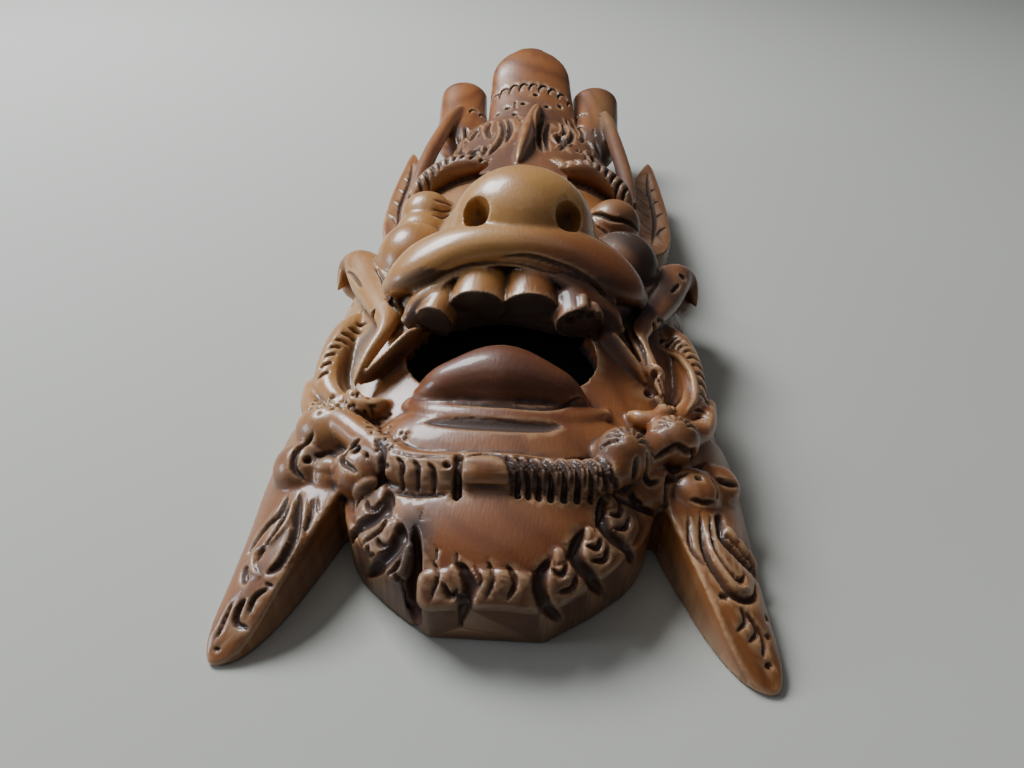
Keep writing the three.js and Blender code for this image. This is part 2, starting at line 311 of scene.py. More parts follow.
# %% [markdown]
# ## Jaw, lips and tongue
# Lips, tongue and chin band are long soft rolls. A limb is a cone bent along a path, with its own
# width and height at every place, so one short list describes a whole lip.

# %% The lower jaw
KNOBS = (
    (-81, 72, 23, 12.5), (-54, 64, 32, 11.5), (-67, 68, 25, 10), (86, 76, 20, 10.5),
    (75, 69, 23, 11.5), (55, 69, 27, 12),
)
for x, y, z, radius in KNOBS:
    lump(clay, (x, y, z), (radius, radius, radius * 0.95))
CHIN_BAND = mirrored([
    (88, 116, 31), (82, 95, 35), (67, 85, 38), (56, 75, 39), (45, 65, 41), (34, 58, 42), (18, 56, 43),
    (0, 56, 44),
])
limb(clay, CHIN_BAND, [6, 7, 7, 7, 7.5, 7, 7, 6], [6, 7, 7, 7, 7.5, 7, 7, 6], blunt=0.7, steps=60)
lump(clay, (0, 80, 30), (54, 28, 20))
LOWER_LIP = mirrored([(42, 97, 40), (26, 87, 45), (0, 84, 47)])
limb(clay, LOWER_LIP, [4, 6, 8, 6, 4], [3, 4, 4.5, 4, 3], blunt=0.6)
TONGUE = [(-39, 98, 43), (-24, 99, 50), (-3, 102, 52), (18, 99, 50), (33, 98, 43)]
limb(clay, TONGUE, [7, 9, 14, 9, 7], [5, 9, 13.5, 9, 5], blunt=0.5)
print(f"lower jaw added: {len(clay.faces)} faces")

# %% The upper jaw and its lip
lump(clay, (LEAN, 170, 42), (64, 44, 45))
GUM = mirrored([(48, 134, 54), (34, 142, 64), (0, 150, 73)])
limb(clay, GUM, [7, 7, 7, 7, 7], [8, 8, 8, 8, 8], blunt=0.5)
UPPER_LIP = mirrored([(57, 158, 58), (47, 155, 70), (25, 158, 81), (0, 158, 84)])
limb(clay, UPPER_LIP, [12, 15, 13, 11, 13, 15, 12], [9, 9, 9, 9, 9, 9, 9], blunt=0.7, steps=50)
print(f"upper jaw added: {len(clay.faces)} faces")

# %% [markdown]
# ## Nose, eyes, brows and cheeks
# The snout is the highest place of the carving: one round lump with a bridge running back from it.
# Eyes and cheeks are lumps too. Brows, straps and cheek folds are limbs, and one loop makes both
# sides, because the carver worked from the middle line outwards in the same way.

# %% Nose
lump(clay, (LEAN, 183, 76), (35, 30, 32.6))
limb(clay, [(LEAN, 195, 76), (LEAN, 230, 76), (LEAN, 268, 74)], [24, 15, 18], [16, 11, 8], blunt=0.6)
print(f"nose added: {len(clay.faces)} faces")

# %% Eyes, brows, straps and cheek folds, one side after the other
for side in SIDES:
    lump(clay, (side * 51, 232, 59), (15, 15, 15))
    lump(clay, (side * 54, 200, 48), (20, 22, 22))
    brow = [(side * 64, 252, 57), (side * 55, 264, 66), (side * 40, 271, 73), (side * 20, 268, 78)]
    limb(clay, brow, [3, 6, 7, 5], [5, 7, 7, 5])
    strap = [
        (side * 97, 199, 31), (side * 93, 209, 37), (side * 84, 206, 43), (side * 72, 182, 46),
        (side * 61, 156, 50),
        (side * 57, 134, 52), (side * 62, 116, 48), (side * 66, 101, 43),
    ]
    limb(clay, strap, [3, 6, 10, 12, 10, 4, 2.4, 2.2], [4, 7, 8, 7, 6, 4, 4, 4], steps=60, blunt=0.3)
    lump(clay, (side * 88, 214, 28), (11, 12, 10))
    curl = [(side * 66, 102, 43), (side * 63, 95, 41), (side * 56, 94, 40), (side * 50, 98, 40)]
    limb(clay, curl, [3.4, 4, 3.6, 2], [4, 4, 4, 3], blunt=0.5)
    cheek = [
        (side * 72, 170, 36), (side * 79, 150, 35), (side * 81, 130, 35), (side * 79, 112, 34),
        (side * 71, 99, 35),
        (side * 60, 90, 36),
    ]
    limb(clay, cheek, [5, 7, 7, 7, 6, 4], [8, 10, 10, 9, 7, 4], steps=40)
print(f"face added: {len(clay.faces)} faces")

# %% [markdown]
# ## Ears, rods, forehead and crown
# Pointed ears stand off the head like boards, and a thin round rod runs beside each of them up to
# the crown. The crown is three blunt lobes, the middle one standing highest.

# %% Ears and rods
ROD = 5.2
LEFT_EAR = 0.93                                   # the left ear stands this share as far out
EAR = [(66, 250), (84, 252), (92, 268), (95, 296), (96, 330), (94, 396), (84, 380), (74, 350), (64, 330)]
for side in SIDES:
    spread = side * (LEFT_EAR if side < 0 else 1)
    board(clay, [(spread * x, y) for x, y in smooth_outline(EAR, 40)][::side], 14, 34)
    limb(
        clay,
        [(side * 68, 280, 50), (side * 65, 344, 54), (side * 61 + 1, 400, 55), (side * 57 + 3, 438, 56)],
        [ROD] * 4, [ROD] * 4, blunt=0.6,
    )
print(f"ears and rods added: {len(clay.faces)} faces")

# %% The flame on the forehead, and the long swelling under the left eye
limb(clay, [(-4, 286, 73), (0, 330, 73), (4, 375, 71), (8, 415, 66)], [3.5, 5, 4, 3], [6, 8, 7, 5])
lump(clay, (-52, 218, 54), (15.5, 17, 15))
print(f"flame and swelling added: {len(clay.faces)} faces")

# %% Crown lobes
CROWN_MIDDLE = [(3, 372, 46), (3, 420, 51), (1, 462, 65), (-1, 498, 85)]
limb(clay, CROWN_MIDDLE, [36, 34, 32, 30], [16, 16, 15, 13], blunt=0.35, sides=40)
for side in SIDES:
    lobe = [(side * 44, 376, 38), (side * 51, 430, 41), (side * 54, 470, 49), (side * 54, 490, 57)]
    limb(clay, lobe, [23, 20, 19, 19], [16, 15, 14, 13], blunt=0.4, sides=40)
print(f"crown added: {len(clay.faces)} faces")

# %% [markdown]
# ## Hollowing and opening the mouth
# The back is hollowed to a wall of even thickness so that the mask is light to wear and the wood
# does not split. The hollow and the mouth are one heap of tool shapes, cut away with a boolean.

# %% Melt the clay, then cut
WALL = 14
CLAY_VOXEL = 1.1 if fine else 1.8                 # the size of the squares of the melted clay
TOOL_VOXEL = 1.4
mask = skin(clay, "carved_mask", CLAY_VOXEL)
tools = bmesh.new()
inner = [(y, half_width - WALL, crest - WALL + 1) for y, half_width, crest in HEAD[2:-1]]
inner[0] = (inner[0][0] - 2 * WALL, *inner[0][1:])
inner[-1] = (inner[-1][0] - WALL / 3, *inner[-1][1:])
vault(tools, inner, floor=-20)
lump(tools, (-4, 123, 40), (43, 24, 46), (-30, 0, 0))
lump(tools, (-2, 146, 48), (38, 17, 15))
limb(tools, [(-30, 38, 38), (-28.5, 27, 30), (-30, 8, 12)], [0.6, 2.4, 4.5], [2, 7, 16], blunt=1, steps=8)
for side in SIDES:
    lump(tools, (LEAN + side * 21.5, 165, 96), (7, 8.2, 15), (42, side * 8, 0))
    channel = [
        (side * 62, 148, 53), (side * 68, 139, 50), (side * 72.5, 127, 47), (side * 73, 115, 46),
        (side * 69, 104, 44),
        (side * 62, 98, 43),
    ]
    limb(tools, channel, [1.5, 3.2, 3.4, 3.4, 3, 1.4], [5, 8, 8, 8, 7, 4], steps=40, blunt=0.3)
bmesh.ops.create_cube(
    tools, size=1, matrix=Matrix.Translation((0, 250, -30)) @ Matrix.Diagonal((230, 560, 60, 1)),
)


def cut_away(piece, tools, voxel):
    tool = skin(tools, "tool", voxel)
    cut = piece.modifiers.new("cut", "BOOLEAN")
    cut.operation = "DIFFERENCE"
    cut.solver = "MANIFOLD"
    cut.object = tool
    bake(piece)
    bpy.data.objects.remove(tool)


cut_away(mask, tools, TOOL_VOXEL)
print(f"hollowed: {len(mask.data.polygons)} faces")

# %% [markdown]
# ## Teeth
# The front teeth are half-round flutes with a flat cut at the mouth; the fangs at the corners are
# blades that curve down and out. They go on after the mouth is opened, so that they hang into it.

# %% Front teeth and fangs
teeth = bmesh.new()
TEETH = (
    # root, cutting edge, half-width
    ((-30, 146, 63), (-34.5, 130, 59), 8.5),
    ((-15, 152, 70), (-15.5, 133, 66), 12.2),
    ((7.5, 152, 70), (7.5, 133.5, 66), 12),
    ((26, 148, 66), (29, 130, 61.5), 10.5),
)
for root, edge, half_width in TEETH:
    limb(teeth, [root, edge], [half_width * 0.98, half_width], [9.5, 9], blunt=1, sides=32)
limb(teeth, [(-37, 135, 54), (-16, 140, 60), (8, 140, 60), (34, 136, 55)], [6] * 4, [7.5] * 4, blunt=0.6)
FANGS = (
    [(-41, 132, 53), (-48, 122, 50), (-56, 113, 46), (-64, 106, 42)],
    [(39, 138, 54), (45, 131, 51), (53, 123, 46), (60, 116, 42)],
)
for blade in FANGS:
    limb(teeth, blade, [2.4, 2.2, 1.8, 1], [6, 6, 5, 3], blunt=0.4)
teeth.from_mesh(mask.data)
bpy.data.objects.remove(mask)
SKIN_VOXEL = 0.8 if fine else 1.6
mask = skin(teeth, "carved_mask", SKIN_VOXEL)
print(f"one skin: {len(mask.data.polygons)} faces of {SKIN_VOXEL} mm")

# %% [markdown]
# ## Carving tools
# Fine carving is pressed into the skin the way a chisel does it. A stroke is a short path over the
# wood; every point of the skin near the path sinks (or swells) by the chisel's profile. Strokes are
# collected first and applied once, so that crossing cuts do not dig twice.

# %% A chisel stroke, pressed into the skin
def skin_normals(piece):
    normals = np.empty(len(piece.data.vertices) * 3)
    piece.data.vertices.foreach_get("normal", normals)
    return normals.reshape(-1, 3)


class Wood:
    """The skin being carved: its points, their normals, and what the strokes have done so far."""

    def __init__(self, piece):
        self.piece = piece
        self.places = vertex_places(piece)
        self.normals = skin_normals(piece)
        self.tree = BVHTree.FromPolygons(
            [tuple(p) for p in self.places], [tuple(f.vertices) for f in piece.data.polygons]
        )
        self.order = np.argsort(self.places[:, 1])
        self.sorted_y = self.places[self.order, 1]
        self.raised = np.zeros(len(self.places))
        self.cut = np.zeros(len(self.places))
        self.stained = np.zeros(len(self.places))
        self.strokes = 0

    def on_surface(self, points):
        """Drops (x, y) points straight down on the wood, or snaps (x, y, z) points to it."""
        found = []
        for point in points:
            if len(point) == 2:
                hit = self.tree.ray_cast(Vector((*point, 200)), Vector((0, 0, -1)))[0]
            else:
                hit = self.tree.find_nearest(Vector(point))[0]
            if hit is not None:
                found.append(tuple(hit))
        return np.array(found)

    def near(self, low, high):
        """Numbers of the skin's points inside a box."""
        first, last = np.searchsorted(self.sorted_y, (low[1], high[1]))
        some = self.order[first:last]
        inside = np.all((self.places[some] >= low) & (self.places[some] <= high), axis=1)
        return some[inside]

    def stroke(self, points, width, amount, edge, pointed, into):
        """Adds one stroke. edge is the profile: 1 is a V, 2 a gouge, 4 a square-walled channel."""
        route = np.array(points, float)
        length = np.linalg.norm(np.diff(route, axis=0), axis=1).sum()
        count = max(2, int(length / 1.2) + 2)
        smooth = spline(route)(np.linspace(0, 1, count))
        path = self.on_surface([tuple(p) for p in smooth])
        if len(path) < 2:
            return
        self.strokes += 1
        some = self.near(path.min(0) - width, path.max(0) + width)
        start, step = path[:-1], np.diff(path, axis=0)
        reach = np.maximum((step**2).sum(1), 1e-9)
        away = self.places[some][:, None, :] - start[None]
        share = np.clip((away * step).sum(2) / reach, 0, 1)
        distance = np.linalg.norm(away - share[..., None] * step, axis=2)
        nearest = distance.argmin(1)
        rows = np.arange(len(some))
        along = (nearest + share[rows, nearest]) / len(start)
        taper = np.sqrt(np.clip(1 - np.abs(2 * along - 1) ** 3, 0.02, 1)) if pointed else 1
        away_share = distance[rows, nearest] / (width * taper)
        done = amount * taper * np.clip(1 - away_share**edge, 0, 1)
        into[some] = np.maximum(into[some], done)

    def groove(self, points, width=1.2, depth=1.5, edge=1.6, pointed=True):
        self.stroke(points, width, depth, edge, pointed, self.cut)

    def ridge(self, points, width=1.8, height=1.2, edge=2, pointed=True):
        self.stroke(points, width, height, edge, pointed, self.raised)

    def pit(self, x, y, radius=1.5, depth=2.5):
        self.stroke([(x - 0.2, y), (x + 0.2, y)], radius, depth, 2.5, False, self.cut)

    def stain(self, points, width, amount, pointed=False):
        """Only paints: a brush stroke of dark colour, used for stain and for painted shade, without
        cutting.
        """
        self.stroke(points, width, amount, 2, pointed, self.stained)

    def apply(self):
        """Moves the skin and gives back how deep each point was cut."""
        lift = self.raised - self.cut
        set_places(self.piece, self.places + self.normals * lift[:, None])
        return self.cut


wood_skin = Wood(mask)
groove, ridge, pit = wood_skin.groove, wood_skin.ridge, wood_skin.pit


# %% Paths that carvers use again and again
def arc(x, y, radius_x, radius_y, start, end, count=8):
    """Part of an oval round (x, y), from one angle to another in degrees."""
    angles = np.radians(np.linspace(start, end, count))
    return [(x + radius_x * math.cos(a), y + radius_y * math.sin(a)) for a in angles]


def tick_row(route, count, length, lean=0.0, width=0.9, depth=1.8, bend=0.0):
    """Short cuts square to a route; lean slants them, bend curls each one."""
    curve = spline(route)
    for t in np.linspace(0, 1, count):
        x, y = curve(t)[0][:2]
        ahead = (curve(min(t + 0.02, 1)) - curve(max(t - 0.02, 0)))[0][:2]
        ahead /= np.linalg.norm(ahead)
        across = np.array([ahead[1], -ahead[0]]) + lean * ahead
        middle = np.array([x, y])
        groove(
            [middle - across * length / 2, middle + ahead * bend, middle + across * length / 2],
            width, depth,
        )


def beside(points, distance):
    """A path that runs beside another one, to its right."""
    route = np.array(points, float)
    ahead = np.gradient(route, axis=0)
    ahead /= np.linalg.norm(ahead, axis=1)[:, None]
    return route + distance * np.column_stack([ahead[:, 1], -ahead[:, 0]])


# %% [markdown]
# ## The carving, from the beard up
# The strokes follow the order a carver works in: the leaves round the beard, the flaps, the roped
# band, the knots of the jaw, the cheeks, the mouth, the eyes, and the forehead last. None of them
# stands for a letter or a sign. Each is a leaf, a curl, a hair or a crease.

# %% The leaves of the beard
# Each leaf has a finger with a rounded end, a broad hollow beside it and a fine line beyond that.
HOLLOWS = (
    ([(-42, 52, 36), (-41, 46, 34), (-44, 42, 32), (-49, 41, 28), (-57, 41, 17)], 3),
    ([(-35, 38, 34), (-35, 32, 31), (-38, 29, 27), (-43, 28, 21), (-51, 32, 8)], 3.4),
    ([(-13, 25, 31), (-10, 21, 29), (-8.5, 19, 26), (-10, 16, 21), (-12, 14, 10)], 2.6),
    ([(18, 28, 32), (15, 22, 29), (15, 19, 25), (18, 17, 19), (25, 17, 8)], 2.8),
    ([(30, 39, 35), (27, 32, 33), (28, 28, 29), (33, 27, 22), (41, 27, 10)], 2.8),
    ([(37, 53, 37), (36.5, 45, 35), (38, 40, 32), (43, 38, 28), (51, 39, 17)], 2.6),
)
for path, width in HOLLOWS:
    groove(path, width, 3.2, edge=2.5)
LEAF_BELTS = (
    [(-49, 52), (-47, 43), (-43, 35), (-36, 27)],
    [(-22, 18), (-10, 17.5), (4, 17.5), (16, 18.5), (28, 24), (38, 34), (45, 46)],
)
for path in LEAF_BELTS:
    ridge(path, 7.5, 1.8, edge=7, pointed=False)
    wood_skin.stain(path, 9, 0.5)
FINGERS = (
    [(-46, 55), (-46.5, 50)], [(-37, 40), (-38, 37), (-40, 33)], [(-30.5, 32), (-31.5, 27), (-32, 23)],
    [(-15, 24), (-15, 18)], [(7, 22), (7, 18)], [(21, 31), (21.5, 26)], [(32, 40), (32.5, 35)],
    [(41, 54), (41, 48)],
    [(7, 16), (11, 16.5)], [(23, 21), (26, 23)], [(34, 31), (36, 33)], [(42, 43), (45, 46)],
)
for path in FINGERS:
    ridge(path, 2.3, 1.3, edge=3)
FINGER_ENDS = (
    [(-49, 50), (-48, 46), (-45, 45), (-43, 48)], [(-43, 35), (-41, 32), (-38, 32)],
    [(-46, 34), (-46, 31), (-43, 30.5)],
    [(-35, 24), (-32, 21), (-30, 22)], [(-18, 20), (-15, 16.5), (-12.5, 18.5)],
    [(3.5, 24), (6.5, 20), (4, 16)],
    [(18.5, 25), (22, 23.5), (24, 27)], [(21, 19.5), (26, 21.5), (27, 25)],
    [(30.5, 33.5), (34.5, 33.5), (35.5, 37)],
    [(32, 29.5), (37, 31), (38, 35)], [(39, 46), (43, 47.5), (43.5, 53)],
    [(40, 41.5), (45, 43.5), (46.5, 48)],
)
for path in FINGER_ENDS:
    groove(path, 1.3, 2.2)
FINE_LINES = (
    [(-39, 46), (-41, 38), (-44, 36), (-51, 34)], [(-33, 31), (-34, 26), (-37, 24.5), (-44, 26)],
    [(-51, 53), (-53, 50), (-54, 46)], [(-23, 26), (-20, 22), (-20, 20), (-22, 16)],
    [(-8, 23), (-5, 20), (-7.5, 16.5)], [(-3.5, 25), (-1, 20.5), (-3, 16)],
    [(13, 24), (12.5, 20), (15, 17)], [(26, 33), (25, 28), (31, 24)], [(35, 45), (35.5, 40), (40, 36)],
)
for path in FINE_LINES:
    groove(path, 0.95, 1.5)
groove([(-12, 15, 26), (-12, 14, 17), (-12, 14, 8)], 1.1, 2.6, pointed=False)
for x, y in ((-21, 27), (-14, 25), (-28, 40)):
    groove([(x, y - 2), (x, y + 2)], 0.6, 1)
print(f"beard: {wood_skin.strokes} strokes")

# %% Left flap
groove([(-83, 57), (-84, 49), (-88, 45), (-91, 40), (-93, 34)], 2, 2.2)
groove([(-81, 52), (-82, 44), (-84, 38), (-86, 34), (-87, 29)], 1.5, 2.2)
groove([(-78, 57), (-76, 45), (-75, 38), (-76, 32), (-78, 27), (-82, 24)], 2.5, 3)
groove([(-72, 54), (-71, 45), (-71.5, 39)], 1.1, 1.8)
groove([(-70.5, 54), (-68.5, 47)], 0.8, 1.2)
ridge([(-80, 55), (-79.5, 44), (-84, 36), (-89, 33), (-88, 27), (-84, 23)], 1.5, 1.2)
ridge([(-75, 54), (-73, 44), (-73, 36), (-74, 31), (-77, 25)], 1.6, 1.2)
groove([(-92, 30), (-91, 25), (-89, 22)], 2, 2)
groove([(-82, 21), (-78, 20)], 0.9, 1.2)
groove([(-80, 19.5), (-84.5, 17), (-86, 12)], 1.2, 1.8)
groove([(-88, 17), (-90, 14), (-90, 10), (-85, 8.5)], 1.6, 2)
groove([(-93, 17), (-95, 11), (-97, 6)], 1, 1.4)
pit(-95.5, 3.5, 1, 1)

# %% Right flap
groove([(71, 55), (70, 44), (71, 39), (75, 34)], 1.1, 1.6)
groove([(76, 57), (75, 43), (77, 35), (80, 30), (83, 26), (88, 25), (93, 28), (95, 35)], 1.9, 2.8)
groove([(80, 57), (79, 44), (81, 38), (84, 33.5), (88, 32), (90.5, 36)], 1.4, 2.2)
ridge([(77.5, 50), (78, 40), (81.5, 33), (86, 28.5), (91, 31)], 1.4, 1.2)
groove([(84, 57), (83.5, 48), (87, 44), (92, 41), (100, 39)], 2.3, 3, edge=3, pointed=False)
for x, y in ((88, 51), (92, 48), (96, 46)):
    ridge([(x - 2, y + 3), (x + 2, y - 2)], 2.2, 1.3)
    groove([(x - 3, y), (x, y - 3), (x + 2, y - 4)], 1, 1.6)
groove([(78, 24.5), (82, 24)], 1.2, 1.6)
TIP_CUTS = (
    [(86, 22), (87.5, 18), (84, 14.5)], [(88, 21), (91.5, 16), (88, 12)], [(92, 18), (94, 13), (93, 9)],
)
for path in TIP_CUTS:
    groove(path, 1.1, 1.6)
for x, y in ((97, 23), (96, 16), (95, 7)):
    pit(x, y, 1.4, 1.5)
print(f"flaps: {wood_skin.strokes} strokes so far")

# %% The roped band under the chin
ROPE_TOP = spline([(1.5, 57), (11, 58), (22, 61), (33, 64)])
ROPE_FOOT = spline([(6, 46.5), (15, 46.5), (26, 48), (38, 51)])
for t in np.linspace(0, 1, 8):
    top, foot = ROPE_TOP(t)[0], ROPE_FOOT(t)[0]
    middle = (top + foot) / 2 + (1.6, 0.5)
    groove([top, middle, foot], 1.4, 2.6, pointed=False)
    ridge([top + (1.6, -1), middle + (1.4, 0), foot + (1.2, 0)], 1, 0.8)
    groove([top + (2.6, -1), middle + (2.6, 0), foot + (1.8, 1)], 0.8, 1.3)
groove([(3, 59), (12, 60), (23, 63), (34, 67)], 1.5, 1.5)
ridge([(-11.5, 51.5), (1, 51.5)], 5.5, 1.1, edge=6, pointed=False)
groove([(-13.5, 56), (-7, 59), (-1, 57.5), (3, 52), (4, 46)], 1.4, 2)
groove([(-16, 57), (-16, 46)], 2, 3, edge=3, pointed=False)
for x, y in ((-37, 54), (-31, 52.5), (-25, 51)):
    groove([(x - 2, y + 3), (x + 0.5, y), (x + 0.5, y - 4)], 1.1, 1.8)
pit(-20, 53, 1.5, 2)
groove([(-42, 60), (-32, 57), (-20, 56.5)], 0.8, 1)
groove([(-43, 52), (-31, 47.5), (-19, 46.5)], 1, 1.2)
for hump_x, hump_y, reach, first, last in ((47, 68, 12, 175, 20), (68, 84, 11, 170, 20)):
    for angle in np.radians(np.linspace(first, last, 8)):
        out = np.array([math.cos(angle), math.sin(angle)])
        middle = np.array([hump_x, hump_y - 3])
        groove([middle + out * 3, middle + out * reach * 0.6 + (-1, 0.5), middle + out * reach], 0.9, 1.3)
for x, y in ((80, 101), (79, 97), (78, 93)):
    groove([(x - 2, y), (x + 2.5, y + 3), (x + 6, y)], 0.9, 1.4)
groove([(33, 54), (44, 54.5), (56, 56), (64, 59)], 1.7, 2)
groove([(57, 68), (65, 75), (73, 76), (84, 86)], 1.7, 2.2)

# %% Hair patch and knots on the left of the jaw
chance = np.random.default_rng(7)
HAIR = spline([(-78, 96), (-68, 92), (-56, 90), (-49, 80), (-46, 70), (-42, 62)])
for _ in range(110):
    x, y = HAIR(chance.random())[0] + chance.normal(0, 3.5, 2)
    turn = chance.uniform(0, 2 * math.pi)
    groove([(x, y), (x + 2 * math.cos(turn), y + 2 * math.sin(turn))], 1, 1.3)
ridge([(-74, 66), (-68, 66), (-62, 64)], 4, 1.4)
groove([(-77, 79), (-81, 75), (-82.5, 69), (-81.5, 64), (-77, 61.5)], 1.7, 2.4)
groove([(-75, 71), (-69, 73), (-63, 70)], 2.2, 2)
pit(-77, 68, 1.7, 2.6)
groove([(-55, 69), (-60, 67), (-61.5, 62), (-58, 58.5), (-54, 56)], 1.6, 2.6)
pit(-56.5, 65.5, 2, 3)
groove([(-49, 67), (-45.5, 62), (-45, 57), (-47, 53)], 2.2, 2.4)

# %% Knots on the right of the jaw
groove([(63, 58), (63.5, 65), (67, 70), (73, 71.5)], 1.9, 2.6)
groove([(72, 60.5), (78, 60), (82.5, 62)], 1.3, 1.8)
groove([(81, 71), (84, 67), (83, 63)], 1, 1.5)
pit(76, 68.5, 1.5, 2)
groove([(49, 62), (49.5, 58), (54, 56.5)], 1.5, 2.2)
groove([(53, 65), (56, 62), (60, 64)], 1.5, 2.2)
groove([(86, 82), (91, 83), (97, 83)], 1.3, 2)
groove([(84, 73), (89, 71.5), (94, 73)], 1.7, 2.4)
print(f"jaw: {wood_skin.strokes} strokes so far")

# %% Cheeks
tick_row([(-72, 151), (-77, 138), (-80.5, 125), (-81, 111)], 8, 5.5, lean=0.6, width=1.1, depth=2.4)
tick_row(
    [(69, 150), (76, 146), (81, 137), (84, 124), (85, 110)], 11, 6.5, lean=-0.3, width=1.1, depth=2.4,
    bend=-1.4,
)
groove([(-72, 187, 53), (-66, 176, 54), (-61, 162, 57), (-57, 150, 57), (-51, 143, 54)], 2, 2.8)
groove(
    [(72, 187, 53), (66, 172, 54), (60, 158, 57), (53, 141, 54), (57, 126, 53), (60, 117, 48)], 1.9,
    2.6,
)
groove([(-89, 193), (-84, 185), (-79, 176), (-75, 168)], 1.3, 1.8)
for x, y, radius in ((-76, 163, 2), (-85, 181, 1.8), (-88, 176, 1.4), (86, 196, 2.4), (61, 113, 2.3)):
    pit(x, y, radius, 2.6)
groove([(77, 177), (83, 188)], 1.3, 2)
groove([(79, 168), (86, 172)], 0.9, 1.2)
ridge([(66, 143), (74, 141), (78, 129), (80, 118), (79, 107), (74, 98)], 1.8, 1.2)
ridge([(61, 117), (65, 112), (68, 105), (69, 98)], 1.9, 1.8)
groove([(62, 111), (65, 105), (66, 97)], 1.2, 2.2)
groove([(-50, 92), (-58, 89), (-66, 90)], 1.1, 1.2)

# %% Mouth: creases of the gum, the tongue and the chin
groove(
    [(-37, 140, 72), (-32, 143, 75), (-20, 146, 79), (-7, 147, 80), (6, 146, 80), (20, 144, 77)], 0.9,
    1,
)
groove(
    [(-7, 147, 83), (6, 147, 84), (19, 146, 81), (28, 144, 78), (37, 141, 73), (42, 139, 69)], 1.5,
    1.8,
)
groove([(-23, 87), (-3, 85), (17, 86), (31, 96)], 1.3, 1.2)
groove([(-32, 79.5), (-20, 77), (-5, 75.5), (12, 76), (22, 78.5)], 3.4, 1.9)
groove([(-30, 80.5), (-18, 79.5), (0, 78), (16, 78)], 0.8, 0.9)
groove([(12, 79), (8, 76), (2, 74)], 0.8, 0.8)
for x, y, z, radius in ((24, 130, 64, 2.6), (28, 129, 67, 3), (33, 129, 66, 2.2)):
    wood_skin.stroke([(x, y, z), (x + 0.4, y, z)], radius, 2.4, 2, False, wood_skin.cut)
for route in ([(35, 133, 69), (38, 129, 66)], [(30, 135, 71), (30, 131, 69)]):
    wood_skin.stroke(route, 2.6, 1.6, 2, False, wood_skin.raised)
print(f"face: {wood_skin.strokes} strokes so far")

# %% Eyes, brows and ears
for side in SIDES:
    brow_line = [(side * 59, 258), (side * 50, 267), (side * 38, 272), (side * 23, 270)]
    tick_row(brow_line, 9, 9, lean=0.3 * side, width=1.3, depth=2)
    groove([(side * 62, 248), (side * 52, 257), (side * 38, 262), (side * 24, 261)], 1.2, 1.6)
    spread = side * (LEFT_EAR if side < 0 else 1)
    groove([(spread * 80, 262), (spread * 86, 300), (spread * 87, 345), (spread * 90, 378)], 1.5, 2)
    for y in (275, 295, 315, 335):
        groove([(spread * 84, y), (spread * 88, y + 9), (spread * 93, y + 14)], 0.9, 1.2)
        groove([(spread * 83, y + 6), (spread * 79, y + 15), (spread * 77, y + 22)], 0.9, 1.2)
groove([(38, 231, 66), (42, 226, 69), (49, 221, 69), (57, 221, 68), (67, 225, 60)], 1.7, 2.6)
groove([(40, 222, 62), (47, 216, 65), (56, 213, 66), (64, 214, 60)], 1.2, 1.8)
groove([(43, 211, 62), (49, 207, 66), (56, 200, 68)], 0.9, 1.2)
for y in (219, 223, 228):
    groove([(-47, y - 1), (-42, y + 1), (-37, y + 6)], 0.8, 1)

# %% Forehead: long hollows and arcs, cut deep and left dark
OVALS = (
    (-37.5, 378, 4, 17, 3), (-33, 318, 4.5, 12, 3.5), (-25.5, 318, 2, 9, 2.5), (23, 348, 4, 12, 3.5),
    (46, 342, 4, 12, 3),
)
for x, y, half_width, half_length, depth in OVALS:
    groove([(x - 1, y - half_length), (x, y), (x + 1, y + half_length)], half_width, depth, edge=2.5)
    for side in SIDES:
        bulge = (x + side * (half_width + 2.2), y)
        ridge([(x + side * 2, y - half_length - 3), bulge, (x + side * 2, y + half_length + 3)], 1.8, 1.6)
ARCS = (
    [(-19, 392), (-15.5, 357), (-17, 331), (-22, 306)], [(-14, 392), (-11, 361), (-13, 330)],
    [(11, 392), (8, 350), (11, 312)], [(16, 388), (13, 350), (15, 315)],
    [(29, 410), (33, 381), (29, 350), (22, 322)],
    [(26, 395), (27, 375), (25, 360)], [(36, 420), (41, 395), (40, 372)],
    [(50, 392), (57, 370), (57, 342), (51, 318)],
    [(44, 392), (50, 372), (50, 356)], [(-27, 398), (-28, 372), (-24, 345)],
    [(-46, 368), (-45, 345), (-40, 330)],
    [(-50, 345), (-48, 318), (-43, 300)], [(38, 318), (36, 300), (28, 290)],
    [(-20, 298), (-30, 292), (-40, 296)],
    [(18, 302), (24, 294), (34, 284)], [(-46, 402), (-44, 385), (-46, 368)],
)
for path in ARCS:
    groove(path, 2, 2.8)
    ridge(beside(path, 3.2), 1.4, 1.2)
PITS = (
    (-23, 413), (-16, 417), (-4, 420), (5, 432), (14, 418), (24, 424), (-32, 408), (40, 414), (-10, 405),
)
for x, y in PITS:
    pit(x, y, 2.2, 2.4)
for i in range(12):
    x = -42 + i * 7.6
    y = 430 + 8 * math.cos(x / 30)
    groove(arc(x, y, 4, 7, 200, 20), 1.2, 2)
for _ in range(24):
    x, y = chance.uniform(-58, 58), chance.uniform(280, 420)
    turn = chance.uniform(0, 360)
    groove(arc(x, y, 2.6, 7, turn, turn + 130, 4), 0.9, 1.4)
print(f"all: {wood_skin.strokes} strokes")
